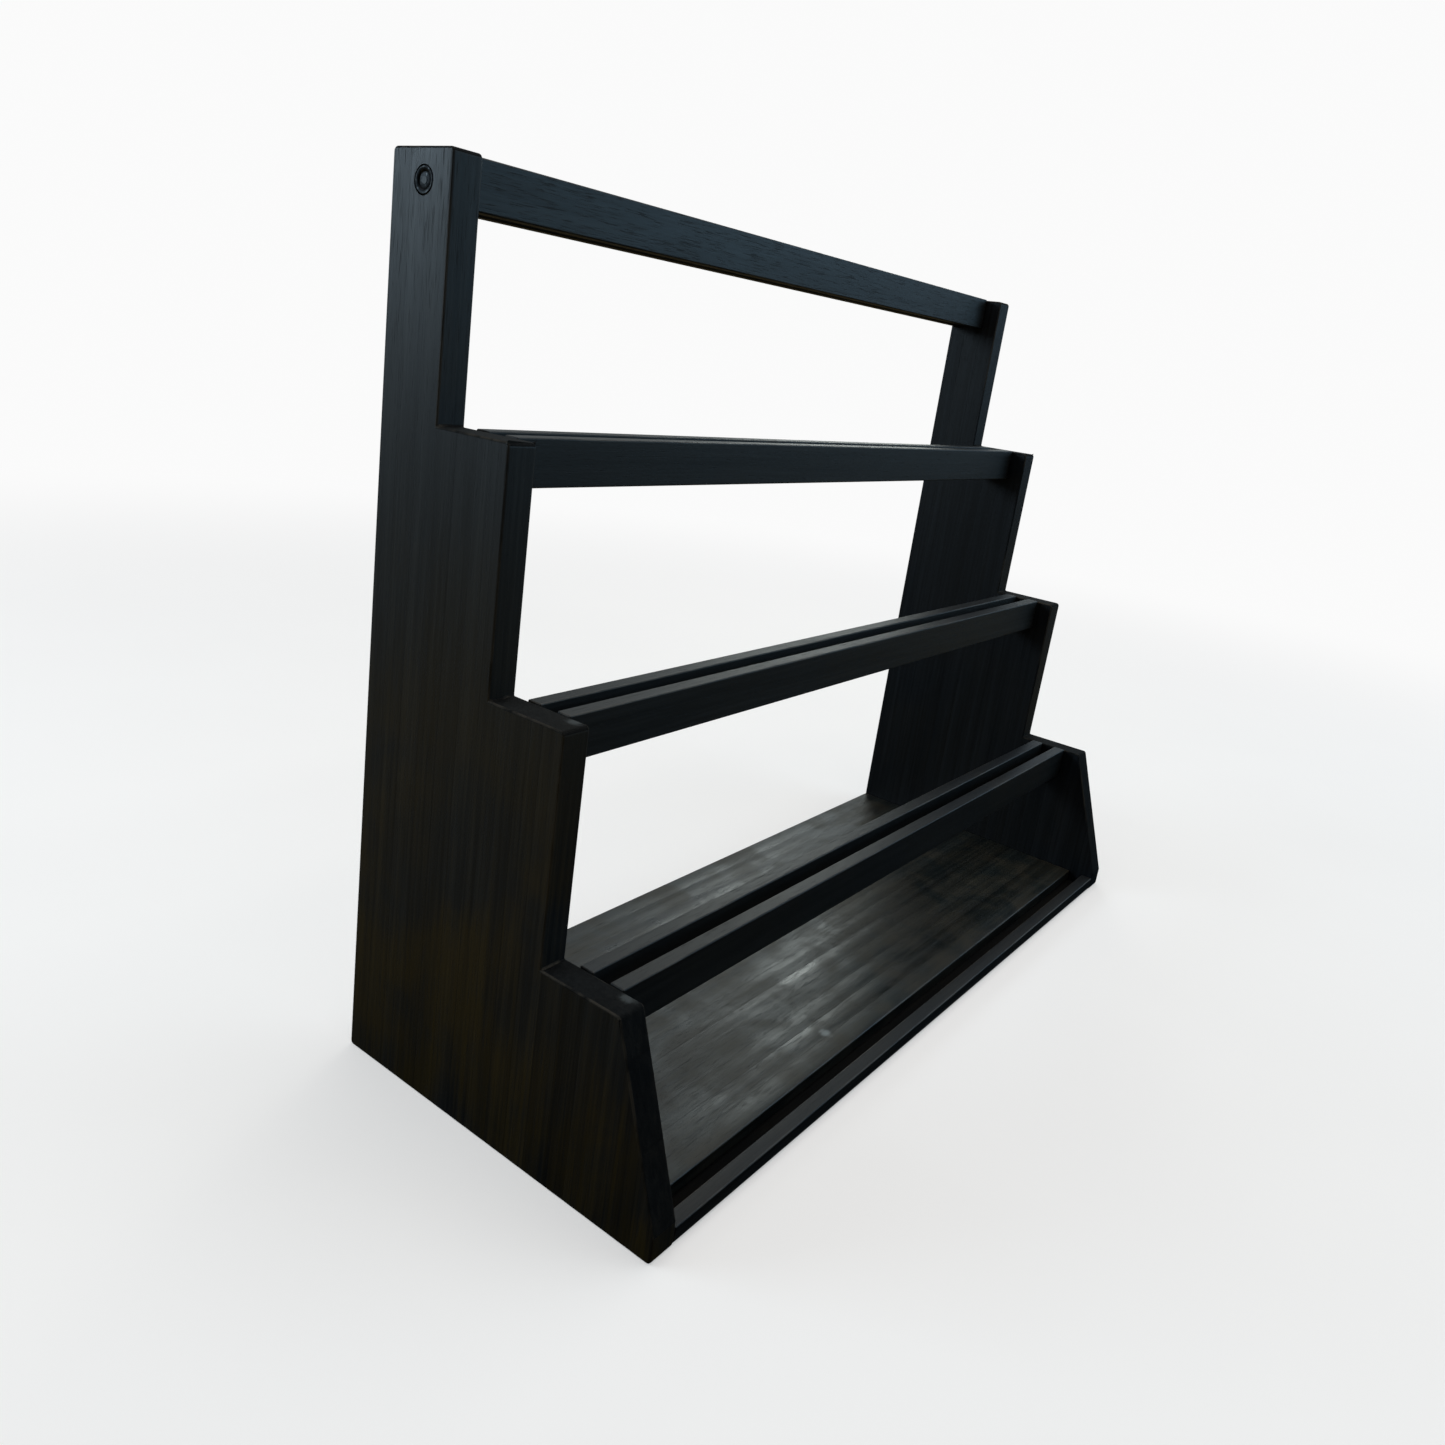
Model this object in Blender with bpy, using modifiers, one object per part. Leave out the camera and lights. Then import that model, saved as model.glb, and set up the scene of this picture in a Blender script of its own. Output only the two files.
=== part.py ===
"""Stepped wooden rack: two solid side panels carry a pair of rails on each of four tiers, a board at the base.

The origin is on the floor under the middle of the rack. +X is to the rack's right side, -Y is its front, +Z is up.
Depths are measured forward from the flat back edge of the side panels.
"""
import math

import bmesh
import bpy
from mathutils import Matrix, Vector

# Overall size
WIDTH = 1.030
DEPTH = 0.382
HEIGHT = 0.800

# Side panels: a straight back edge, a flat top, three risers and a sloping lower front that ends in a short toe
PANEL_THICKNESS = 0.029
TREAD_DEPTHS = (0.070, 0.153, 0.237, 0.323)
LOWEST_TREAD = 0.192
TOE_HEIGHT = 0.025
CORNER_RADIUS = 0.004
CORNER_STEPS = 3
PANEL_ARRIS = 0.0015

# Rails: two on edge at each tier, with a slot between them
RAIL_THICKNESS = 0.015
RAIL_HEIGHT = 0.040
RAIL_SLOT = 0.018
RAIL_RECESS = 0.022
RAIL_PROUD = 0.001
RAIL_ARRIS = 0.001

# Base: a deep board, a groove, and a rail flush with the panels' toes; a thin strip closes the groove from below
BOARD_THICKNESS = 0.015
BOARD_UNDERSIDE = 0.003
BASE_SLOT = 0.018
BASE_RAIL_DEPTH = 0.015
STRIP_LAP = 0.012
STRIP_SETBACK = 0.002
STRIP_UNDERSIDE = 0.0005

# Dowels hold every butt joint between a rail or board and a panel
DOWEL_RADIUS = 0.003
DOWEL_LENGTH = 0.028
DOWEL_CHAMFER = 0.0006
DOWEL_SIDES = 12
RAIL_DOWEL_OFFSETS = {"lower": -0.012, "upper": 0.012}
BOARD_DOWEL_DEPTHS = {"back": 0.045, "middle": 0.175, "front": 0.305}

# A screw in a cup washer pulls each end of the top front rail tight, through the panel
SCREW_DEPTH = 0.038
SCREW_DROP = 0.024
SCREW_LENGTH = 0.060
SCREW_SHANK_RADIUS = 0.0025
SCREW_HEAD_RADIUS = 0.0062
SCREW_HEAD_HEIGHT = 0.0034
CUP_RADIUS = 0.0110
CUP_HEIGHT = 0.0050
CUP_BORE_RADIUS = 0.0033
CUP_RIM = 0.0018
TURNED_STEPS = 24

# Room left between pieces that touch or sit inside each other
GAP = 0.0003

INNER_FACE = WIDTH / 2 - PANEL_THICKNESS
SIDES = {"left": -1, "right": 1}

ESPRESSO = (0.030, 0.028, 0.026)
ESPRESSO_RAIL = (0.038, 0.035, 0.030)
BEECH = (0.520, 0.360, 0.210)
BLACK_STEEL = (0.060, 0.060, 0.065)


def clear_objects():
    """Remove what the open scene holds."""
    for existing in list(bpy.data.objects):
        bpy.data.objects.remove(existing, do_unlink=True)


def make_collection(name):
    """A collection linked to the scene."""
    collection = bpy.data.collections.new(name)
    bpy.context.scene.collection.children.link(collection)
    return collection


def make_material(name, color, roughness, metallic=0.0):
    """A plain Principled material."""
    material = bpy.data.materials.new(name)
    material.use_nodes = True
    shader = material.node_tree.nodes["Principled BSDF"]
    shader.inputs["Base Color"].default_value = (*color, 1.0)
    shader.inputs["Roughness"].default_value = roughness
    shader.inputs["Metallic"].default_value = metallic
    return material


def forward(depth):
    """World Y of a place that lies this far forward of the back edge."""
    return DEPTH / 2 - depth


def tread_heights():
    """Heights of the four treads, top first, at one even pitch."""
    pitch = (HEIGHT - LOWEST_TREAD) / (len(TREAD_DEPTHS) - 1)
    return [HEIGHT - index * pitch for index in range(len(TREAD_DEPTHS))]


def add_bevel(target, width, segments):
    """Ease the sharp edges of a piece."""
    bevel = target.modifiers.new("eased_edges", "BEVEL")
    bevel.width = width
    bevel.segments = segments
    bevel.limit_method = "ANGLE"
    bevel.angle_limit = math.radians(40)


def add_cut(target, cutter):
    """Cut the joint holes out of a piece."""
    cut = target.modifiers.new("joint_holes", "BOOLEAN")
    cut.operation = "DIFFERENCE"
    cut.solver = "EXACT"
    cut.object = cutter


def place(name, mesh, collection, parent, material=None):
    """Make an object from a mesh and put it under the rack's empty."""
    piece = bpy.data.objects.new(name, mesh)
    collection.objects.link(piece)
    piece.parent = parent
    if material and not mesh.materials:
        mesh.materials.append(material)
    return piece


def box_mesh(name, size):
    """A box mesh of the given size, centred on its own origin."""
    mesh = bpy.data.meshes.new(name)
    shape = bmesh.new()
    bmesh.ops.create_cube(shape, size=1.0)
    bmesh.ops.scale(shape, vec=size, verts=shape.verts)
    shape.to_mesh(mesh)
    shape.free()
    return mesh


def add_rod(shape, radius, length, center, sides):
    """Add a rod along X to a bmesh."""
    lie_down = Matrix.Translation(center) @ Matrix.Rotation(math.pi / 2, 4, "Y")
    bmesh.ops.create_cone(
        shape, cap_ends=True, segments=sides, radius1=radius, radius2=radius, depth=length, matrix=lie_down
    )


def round_corner(corner, before, after, radius):
    """Points of the arc that rounds one corner of an outline."""
    toward_before = (before - corner).normalized()
    toward_after = (after - corner).normalized()
    half_angle = toward_before.angle(toward_after) / 2
    center = corner + (toward_before + toward_after).normalized() * radius / math.sin(half_angle)
    start = corner + toward_before * radius / math.tan(half_angle) - center
    end = corner + toward_after * radius / math.tan(half_angle) - center
    sweep = start.angle_signed(end)
    arc = []
    for step in range(CORNER_STEPS + 1):
        turn = Matrix.Rotation(-sweep * step / CORNER_STEPS, 2)
        arc.append(center + turn @ start)
    return arc


def panel_outline():
    """The side panel's outline as (Y, Z) points: outer corners are rounded, the feet of the risers are sharp."""
    heights = tread_heights()
    corners = [(0.0, 0.0, True), (0.0, HEIGHT, True)]
    for index, depth in enumerate(TREAD_DEPTHS):
        corners.append((depth, heights[index], True))
        if index + 1 < len(heights):
            corners.append((depth, heights[index + 1], False))
    corners.append((DEPTH, TOE_HEIGHT, False))
    corners.append((DEPTH, 0.0, True))
    places = [Vector((forward(depth), height)) for depth, height, _ in corners]
    outline = []
    for index, corner in enumerate(places):
        if corners[index][2]:
            after = places[(index + 1) % len(places)]
            outline.extend(round_corner(corner, places[index - 1], after, CORNER_RADIUS))
        else:
            outline.append(corner)
    return outline


def panel_mesh(collection):
    """The side panel as a mesh in its outline's plane, thickness along local Z."""
    curve = bpy.data.curves.new("panel_outline", "CURVE")
    curve.dimensions = "2D"
    curve.fill_mode = "BOTH"
    curve.extrude = PANEL_THICKNESS / 2
    points = panel_outline()
    spline = curve.splines.new("POLY")
    spline.points.add(len(points) - 1)
    for point, place_in_plane in zip(spline.points, points):
        point.co = (place_in_plane.x, place_in_plane.y, 0.0, 1.0)
    spline.use_cyclic_u = True
    outline = bpy.data.objects.new("panel_outline", curve)
    collection.objects.link(outline)
    bpy.context.view_layer.update()
    evaluated = outline.evaluated_get(bpy.context.evaluated_depsgraph_get())
    mesh = bpy.data.meshes.new_from_object(evaluated)
    bpy.data.objects.remove(outline, do_unlink=True)
    shape = bmesh.new()
    shape.from_mesh(mesh)
    bmesh.ops.remove_doubles(shape, verts=shape.verts, dist=0.00001)
    bmesh.ops.recalc_face_normals(shape, faces=shape.faces)
    shape.to_mesh(mesh)
    shape.free()
    return mesh


def rail_places():
    """Name, depth of the centre and height of the centre for each rail, top tier first."""
    places = []
    for index, height in enumerate(tread_heights()):
        center_height = height + RAIL_PROUD - RAIL_HEIGHT / 2
        front_center = TREAD_DEPTHS[index] - RAIL_RECESS - RAIL_THICKNESS / 2
        back_center = front_center - RAIL_THICKNESS - RAIL_SLOT
        places.append((f"tier{index + 1}_front_rail", front_center, center_height))
        places.append((f"tier{index + 1}_back_rail", back_center, center_height))
    return places


def dowel_places():
    """Name and place, on the joint plane of the right-hand side, of each dowel of one side."""
    places = []
    for name, depth, height in rail_places():
        for level, offset in RAIL_DOWEL_OFFSETS.items():
            places.append((f"{name}_{level}", Vector((INNER_FACE, forward(depth), height + offset))))
    board_middle = BOARD_UNDERSIDE + BOARD_THICKNESS / 2
    for station, depth in BOARD_DOWEL_DEPTHS.items():
        places.append((f"base_board_{station}", Vector((INNER_FACE, forward(depth), board_middle))))
    base_rail_middle = forward(DEPTH - BASE_RAIL_DEPTH / 2)
    places.append(("base_rail", Vector((INNER_FACE, base_rail_middle, board_middle))))
    return places


def to_side(position, sign):
    """The same place on the left (-1) or right (1) side."""
    return Vector((sign * position.x, position.y, position.z))


def screw_axis():
    """Where the top front rail's screws cross the panel's outer face, on the right-hand side."""
    return Vector((WIDTH / 2, forward(SCREW_DEPTH), HEIGHT - SCREW_DROP))


def hole_cutter(collection, parent):
    """All the holes of the joints: dowel holes, screw holes and the pockets of the cup washers."""
    shape = bmesh.new()
    axis = screw_axis()
    tip_depth = CUP_RIM / 2 + SCREW_LENGTH + GAP
    screw_run = tip_depth - CUP_HEIGHT
    screw_middle = axis - Vector((CUP_HEIGHT + screw_run / 2, 0.0, 0.0))
    for sign in SIDES.values():
        for _, position in dowel_places():
            add_rod(shape, DOWEL_RADIUS + GAP, DOWEL_LENGTH + 2 * GAP, to_side(position, sign), DOWEL_SIDES)
        add_rod(shape, SCREW_SHANK_RADIUS + GAP, screw_run, to_side(screw_middle, sign), TURNED_STEPS)
        pocket_length = 2 * (CUP_HEIGHT + GAP)
        add_rod(shape, CUP_RADIUS + GAP, pocket_length, to_side(axis, sign), TURNED_STEPS)
    mesh = bpy.data.meshes.new("joint_hole_cutter")
    bmesh.ops.remove_doubles(shape, verts=shape.verts, dist=0.000001)
    shape.to_mesh(mesh)
    shape.free()
    cutter = place("joint_hole_cutter", mesh, collection, parent)
    cutter.hide_render = True
    cutter.display_type = "WIRE"
    return cutter


def turned_mesh(name, profile, closed):
    """A mesh that holds a profile in the XZ plane, ready for a Screw modifier about Z."""
    mesh = bpy.data.meshes.new(name)
    shape = bmesh.new()
    verts = [shape.verts.new((radius, 0.0, height)) for radius, height in profile]
    for first, second in zip(verts, verts[1:]):
        shape.edges.new((first, second))
    if closed:
        shape.edges.new((verts[-1], verts[0]))
    shape.to_mesh(mesh)
    shape.free()
    return mesh


def add_turning(target):
    """Turn a profile about the piece's own Z axis."""
    turning = target.modifiers.new("turned", "SCREW")
    turning.axis = "Z"
    turning.steps = TURNED_STEPS
    turning.render_steps = TURNED_STEPS
    turning.use_merge_vertices = True
    turning.merge_threshold = 0.00001
    turning.use_smooth_shade = True


def make_panels(collection, parent, cutter, material):
    """The two side panels."""
    mesh = panel_mesh(collection)
    for side, sign in SIDES.items():
        panel = place(f"side_panel_{side}", mesh.copy(), collection, parent, material)
        panel.location.x = sign * (WIDTH - PANEL_THICKNESS) / 2
        panel.rotation_euler = (math.pi / 2, 0.0, math.pi / 2)
        add_bevel(panel, PANEL_ARRIS, 2)
        add_cut(panel, cutter)
    bpy.data.meshes.remove(mesh)


def make_rails(collection, parent, cutter, material):
    """Two rails for each tier."""
    size = (2 * (INNER_FACE - GAP), RAIL_THICKNESS, RAIL_HEIGHT)
    for name, depth, height in rail_places():
        rail = place(name, box_mesh(name, size), collection, parent, material)
        rail.location = (0.0, forward(depth), height)
        add_bevel(rail, RAIL_ARRIS, 2)
        add_cut(rail, cutter)


def make_base(collection, parent, cutter, material):
    """The base board and the rail in front of it."""
    length = 2 * (INNER_FACE - GAP)
    board_depth = DEPTH - BASE_RAIL_DEPTH - BASE_SLOT
    height = BOARD_UNDERSIDE + BOARD_THICKNESS / 2
    pieces = {
        "base_board": (board_depth, board_depth / 2),
        "base_front_rail": (BASE_RAIL_DEPTH, DEPTH - BASE_RAIL_DEPTH / 2),
    }
    for name, (depth, center_depth) in pieces.items():
        mesh = box_mesh(name, (length, depth, BOARD_THICKNESS))
        piece = place(name, mesh, collection, parent, material)
        piece.location = (0.0, forward(center_depth), height)
        add_bevel(piece, RAIL_ARRIS, 2)
        add_cut(piece, cutter)


def make_groove_strip(collection, parent, material):
    """The thin strip under the board's front edge and the base rail."""
    depth = STRIP_LAP + BASE_SLOT + BASE_RAIL_DEPTH - STRIP_SETBACK
    thickness = BOARD_UNDERSIDE - GAP - STRIP_UNDERSIDE
    mesh = box_mesh("base_groove_strip", (2 * (INNER_FACE - GAP), depth, thickness))
    strip = place("base_groove_strip", mesh, collection, parent, material)
    center_depth = DEPTH - STRIP_SETBACK - depth / 2
    strip.location = (0.0, forward(center_depth), STRIP_UNDERSIDE + thickness / 2)
    add_bevel(strip, GAP, 1)


def make_dowels(collection, parent, material):
    """A dowel for every joint hole, all from one mesh."""
    mesh = bpy.data.meshes.new("dowel")
    shape = bmesh.new()
    add_rod(shape, DOWEL_RADIUS, DOWEL_LENGTH, Vector((0.0, 0.0, 0.0)), DOWEL_SIDES)
    ends = [edge for edge in shape.edges if abs(edge.verts[0].co.x - edge.verts[1].co.x) < DOWEL_CHAMFER]
    bmesh.ops.bevel(shape, geom=ends, offset=DOWEL_CHAMFER, segments=1, affect="EDGES")
    shape.to_mesh(mesh)
    shape.free()
    mesh.set_sharp_from_angle(angle=math.radians(40))
    for side, sign in SIDES.items():
        for joint, position in dowel_places():
            dowel = place(f"dowel_{joint}_{side}", mesh, collection, parent, material)
            dowel.location = to_side(position, sign)


def make_screws(collection, parent, material):
    """The countersunk screw and its cup washer at each end of the top front rail."""
    head_top = CUP_HEIGHT - CUP_RIM / 2
    head_foot = head_top - SCREW_HEAD_HEIGHT
    tip = head_top - SCREW_LENGTH
    taper = 4 * SCREW_SHANK_RADIUS
    screw_profile = [
        (0.0, head_top),
        (SCREW_HEAD_RADIUS, head_top),
        (SCREW_SHANK_RADIUS, head_foot),
        (SCREW_SHANK_RADIUS, tip + taper),
        (0.0, tip),
    ]
    cup_profile = [
        (CUP_RADIUS - CUP_RIM, CUP_HEIGHT),
        (CUP_RADIUS, CUP_HEIGHT - CUP_RIM),
        (CUP_RADIUS, 0.0),
        (CUP_BORE_RADIUS, 0.0),
        (CUP_BORE_RADIUS, head_foot - GAP),
        (SCREW_HEAD_RADIUS + 3 * GAP, head_top),
    ]
    screw_mesh = turned_mesh("screw_profile", screw_profile, closed=False)
    cup_mesh = turned_mesh("cup_profile", cup_profile, closed=True)
    for side, sign in SIDES.items():
        seat = to_side(screw_axis() - Vector((CUP_HEIGHT, 0.0, 0.0)), sign)
        for name, mesh in (("top_screw", screw_mesh), ("top_screw_cup", cup_mesh)):
            piece = place(f"{name}_{side}", mesh, collection, parent, material)
            piece.location = seat
            piece.rotation_euler = (0.0, sign * math.pi / 2, 0.0)
            add_turning(piece)


def build_rack():
    """Build the whole rack."""
    clear_objects()
    rack = make_collection("stepped_rack")
    cutters = make_collection("cutters")
    base = bpy.data.objects.new("rack_origin", None)
    rack.objects.link(base)

    panel_stain = make_material("panel_stain", ESPRESSO, 0.38)
    rail_stain = make_material("rail_stain", ESPRESSO_RAIL, 0.34)
    board_stain = make_material("board_stain", ESPRESSO_RAIL, 0.28)
    dowel_wood = make_material("dowel_wood", BEECH, 0.60)
    screw_steel = make_material("screw_steel", BLACK_STEEL, 0.35, 1.0)

    cutter = hole_cutter(cutters, base)
    make_panels(rack, base, cutter, panel_stain)
    make_rails(rack, base, cutter, rail_stain)
    make_base(rack, base, cutter, board_stain)
    make_groove_strip(rack, base, board_stain)
    make_dowels(rack, base, dowel_wood)
    make_screws(rack, base, screw_steel)


build_rack()
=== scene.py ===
import math

import bmesh
import bpy
from mathutils import Euler, Matrix, Quaternion, Vector


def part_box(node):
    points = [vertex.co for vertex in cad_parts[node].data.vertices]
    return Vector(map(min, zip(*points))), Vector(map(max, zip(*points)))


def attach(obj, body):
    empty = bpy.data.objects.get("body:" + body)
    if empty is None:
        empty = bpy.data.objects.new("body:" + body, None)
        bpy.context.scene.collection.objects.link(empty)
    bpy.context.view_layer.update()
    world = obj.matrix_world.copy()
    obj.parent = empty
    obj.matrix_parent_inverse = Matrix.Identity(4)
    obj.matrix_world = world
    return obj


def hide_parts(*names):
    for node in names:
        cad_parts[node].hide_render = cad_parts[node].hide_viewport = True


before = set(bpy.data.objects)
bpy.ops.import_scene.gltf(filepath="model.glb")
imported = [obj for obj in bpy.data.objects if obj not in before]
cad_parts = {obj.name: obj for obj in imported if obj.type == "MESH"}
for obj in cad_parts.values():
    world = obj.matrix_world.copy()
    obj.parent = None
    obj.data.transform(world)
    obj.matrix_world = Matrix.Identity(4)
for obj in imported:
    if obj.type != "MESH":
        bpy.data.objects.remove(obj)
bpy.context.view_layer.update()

BODY = "root"
SIDES = {"left": -1, "right": 1}

# Side panels: the outline is the CAD one, with depths measured forward from the back edge. The upright
# boards start longer by the overrun, and are trimmed to the outline
TREAD_DEPTHS = (0.070, 0.153, 0.237, 0.323)
TOE_HEIGHT = 0.025
RAIL_PROUD = 0.001
CORNER_RADIUS = 0.004
CORNER_STEPS = 6
OVERRUN = 0.01

# Boards are glued up from staves, each with a face that is crowned a little
PANEL_STAVES = 16
PANEL_STAVE = 0.024
BOARD_STAVES = 15
CROWN_STEPS = 6
PANEL_CROWN = 0.00010
BOARD_CROWN = 0.00050

# Worn, rounded edges
PANEL_ARRIS = 0.0018
RAIL_ARRIS = 0.0014
ARRIS_STEPS = 3
SHARP_ANGLE = math.radians(32)

# A panel's face shows end grain if the upright part of its normal is over this
END_FACING = 0.25

# Joints
GAP = 0.0003
ROD_STEPS = 16

# Countersunk screw: radii, and depths below the top of its head. HEAD_FLAT and THREAD_ROOT are shares of
# a radius, THREAD_ROOT_PLACE is a share of the pitch, and the tip is so many shank radii long
SHANK_RADIUS = 0.0025
HEAD_RADIUS = 0.0062
HEAD_HEIGHT = 0.0034
HEAD_FLAT = 0.8
HEAD_DOME = 0.00005
HEAD_LIP = 0.0005
PLAIN_LENGTH = 0.016
THREAD_PITCH = 0.0026
THREAD_ROOT = 0.72
THREAD_ROOT_PLACE = 0.45
TIP_RADII = 3
SCREW_TURN = math.radians(20)

# Its driver recess: half-length and half-width of each arm, depth, overcut and taper
RECESS_REACH = 0.0031
RECESS_WIDTH = 0.0007
RECESS_DEPTH = 0.0022
RECESS_OVERCUT = 0.0003
RECESS_TOP_SCALE = 1.04
RECESS_FOOT_SCALE = 0.42

# Cup washer: bore, rounded rim, and the two edges of its seat's lip, so many gaps out from the screw head
BORE_RADIUS = 0.0033
CUP_RIM = 0.0018
RIM_STEPS = 6
SEAT_LIP_GAPS = (2.5, 4)
SEAT_LIP_HEIGHT = 0.0002
TURNED_STEPS = 64

# Stained wood is made of layers of noise: scale, detail, roughness and distortion. The patches have no
# scale here, because each wood has its own. Pores and small patches run longer along the grain, and the
# pattern of each stave is shifted
FIBRES = (900.0, 3.0, 0.6)
STREAKS = (230.0, 3.0, 0.55, 0.3)
BANDS = (60.0, 2.0, 0.5, 0.6)
PORES = (1500.0, 1.0, 0.4)
SMALL_PATCHES = (38.0, 3.0, 0.6, 0.5)
PATCHES = (3.0, 0.55, 0.4)
PORE_STRETCH = 30.0
SMALL_PATCH_RUN = 0.25
STAVE_SHIFT = 7.0

# The part of a layer's range over which it takes effect
STREAK_CUT = (0.30, 0.70)
BAND_CUT = (0.25, 0.75)
BAND_GLOSS_CUT = (0.30, 0.70)
FIBRE_CUT = (0.25, 0.75)
PORE_CUT = (0.60, 0.70)
PATCH_CUT = (0.35, 0.65)
RUBBED_CUT = (0.42, 0.62)
WARM_CUT = (0.38, 0.62)
END_GRAIN_CUT = (0.10, 0.50)

# How each layer changes the colour, as factors or as shares taken off
BAND_TONE = (0.72, 1.28)
FIBRE_TONE = (0.80, 1.20)
PORE_SHADE = -0.45
JOINT_SHADE = -0.6
END_GRAIN_SHADE = -0.35

# The brown follows the patches and the streaks in these shares, and a mark fades out between these
# multiples of its size
WARM_SHARES = (0.7, 0.3)
MARK_EDGE = (0.65, 1.4)

# How each layer changes the roughness
FIBRE_GLOSS = 0.16
PORE_GLOSS = 0.15
END_GRAIN_GLOSS = 0.14
RUBBED_GLOSS = -0.08

# How each layer stands up from the surface or sinks into it
STREAK_HEIGHT = 0.6
FIBRE_HEIGHT = 0.4
BAND_HEIGHT = 0.8
PORE_HEIGHT = -0.6
JOINT_HEIGHT = -0.8
BUMP_DISTANCE = 0.0004

# Marks that the photograph shows: a small pale fleck on the board, at a share of its length and depth,
# and painted highlights on the left panel's tread corners, set in from its inner face and from the
# tread's front
CHIP_COLOR = (0.160, 0.172, 0.164)
CHIP_SIZE = 0.010
CHIP_SHARES = (0.334, 0.080)
CORNER_HIGHLIGHT_COLOR = (0.045, 0.048, 0.047)
CORNER_HIGHLIGHT_SIZE = 0.011
CORNER_HIGHLIGHT_SETBACK = (0.004, 0.013)
HIGHLIGHTED_TIERS = (3, 4)

# The panels' black-brown stain. Every other wood is this with a few values changed
EBONY = {
    "stave": PANEL_STAVE,
    "origin": -PANEL_STAVES * PANEL_STAVE / 2,
    "stretch": 55.0,
    "joint_width": 0.0009,
    "joint_depth": 0.6,
    "dark": (0.0040, 0.0044, 0.0046),
    "light": (0.0110, 0.0118, 0.0120),
    "brown": (0.0250, 0.0158, 0.0036),
    "worn": (0.0700, 0.0580, 0.0430),
    # Below these heights the brown patches grow towards the floor: painted warm reflection of the floor
    "floor_bounce_heights": (0.05, 0.60),
    "warm": 1.00,
    "warm_all": 0.06,
    "stave_tone": 0.35,
    "stave_gloss": 0.06,
    "wear": 0.45,
    "roughness": 0.39,
    "patchy": 0.10,
    "patch_scale": 7.0,
    "marks": (),
    "cloudy": 0.0,
    "streaky": 0.0,
    "specular": 0.30,
    "coat": 0.0,
    "coat_roughness": 0.3,
    "bump": 0.25,
}

# Blackened steel: colours, the two layers of noise, and how they change the roughness
STEEL_DARK = (0.010, 0.011, 0.012)
STEEL_RUBBED = (0.034, 0.035, 0.036)
STEEL_PATCHES = (420.0, 3.0, 0.6)
STEEL_GRIT = (2600.0, 2.0, 0.6)
STEEL_RUBBED_CUT = (0.48, 0.66)
STEEL_ROUGHNESS = 0.38
STEEL_GRIT_GLOSS = 0.22
STEEL_RUBBED_GLOSS = -0.10
STEEL_BUMP = {"Strength": 0.2, "Distance": 0.0001}

# Camera: the photograph's viewing point, aim, roll, lens and framing
CAMERA_PLACE = (-1.1006, -0.5849, 0.6805)
CAMERA_AIM = (0.0, 0.2178, 0.2822)
CAMERA_ROLL = math.radians(7.62)
CAMERA_LENS = 27.92
CAMERA_SHIFT = (0.0205, -0.0298)
CAMERA_SENSOR = 36.0
CAMERA_CLIP = (0.01, 200.0)

# Studio: what the camera sees round the rack is plain and pale, and what the wood reflects is dimmer.
# The surround is brighter towards the back right. The floor throws back almost nothing close to the rack,
# and a little warm light further out and at its left
BACKGROUND = (0.96, 0.96, 0.96)
COOL_SKY = (0.38, 0.52, 0.66)
PLAIN_SKY = (0.34, 0.37, 0.37)
ZENITH = (0.48, 0.55, 0.62)
BRIGHT_SIDE = (0.50, 0.87, 0.0)
COOL_TO_PLAIN = (0.45, 0.85)
SKY_TO_ZENITH = (0.1, 0.9)
DIM_TO_BRIGHT = (-0.6, 0.5)
DIM_STRENGTH = 0.12
FLOOR_RADIUS = 40.0
FLOOR_SIDES = 96
FLOOR_SEEN = (1.00, 0.925, 0.86)
FLOOR_NOISE = (3.0, 2.0)
FLOOR_NOISE_CUT = (0.3, 0.7)
FLOOR_TONE = (0.985, 1.0)
FLOOR_ROUGHNESS = 0.9
FLOOR_GLOW = 0.45
WARM_BOUNCE = (0.170, 0.120, 0.055)
DARK_BOUNCE = (0.012, 0.012, 0.012)
DARK_RIGHT_OF = (-0.85, -0.45)
DARK_WITHIN = (0.9, 1.7)
FLOOR_FADE = (0.5, 3.6)

# Lights: place, aim, size, power and colour. The windows stand at the rack's back left, front right and
# back right
LIGHTS = {
    "top_light": ((0.0, -0.2, 3.2), (0.0, 0.0, 0.4), (3.0, 3.0), 56.0, (1.0, 0.985, 0.96)),
    "left_window": ((-2.1, 2.1, 1.40), (-0.5, 0.0, 0.75), (1.4, 0.8), 30.0, (0.66, 0.85, 1.0)),
    "front_window": ((1.95, -2.25, 1.42), (0.0, 0.1, 0.75), (2.7, 0.90), 19.5, (0.42, 0.74, 1.0)),
    "board_window": ((1.90, 1.11, 1.46), (0.0, 0.0, 0.0), (0.5, 0.6), 5.6, (0.92, 1.0, 0.95)),
}


# ---------------------------------------------------------------- mesh code


def mesh_from(shape, name):
    """Turn a bmesh into a mesh and free it."""
    bmesh.ops.recalc_face_normals(shape, faces=shape.faces)
    mesh = bpy.data.meshes.new(name)
    shape.to_mesh(mesh)
    shape.free()
    return mesh


def link(name, mesh):
    """A new object for a mesh, in the scene."""
    made = bpy.data.objects.new(name, mesh)
    bpy.context.scene.collection.objects.link(made)
    return made


def wall(shape, rings):
    """Cap two rings of vertices and join them with walls."""
    shape.faces.new(rings[0])
    shape.faces.new(rings[1])
    count = len(rings[0])
    for index in range(count):
        after = (index + 1) % count
        shape.faces.new((rings[0][index], rings[0][after], rings[1][after], rings[1][index]))


def prism(name, section, axis, low, high):
    """A prism: a closed section of (Y, Z) points run along X, or of (X, Y) points run along Z."""
    shape = bmesh.new()
    rings = []
    for reach in (low, high):
        if axis == "X":
            rings.append([shape.verts.new((reach, first, second)) for first, second in section])
        else:
            rings.append([shape.verts.new((first, second, reach)) for first, second in section])
    wall(shape, rings)
    return mesh_from(shape, name)


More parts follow.
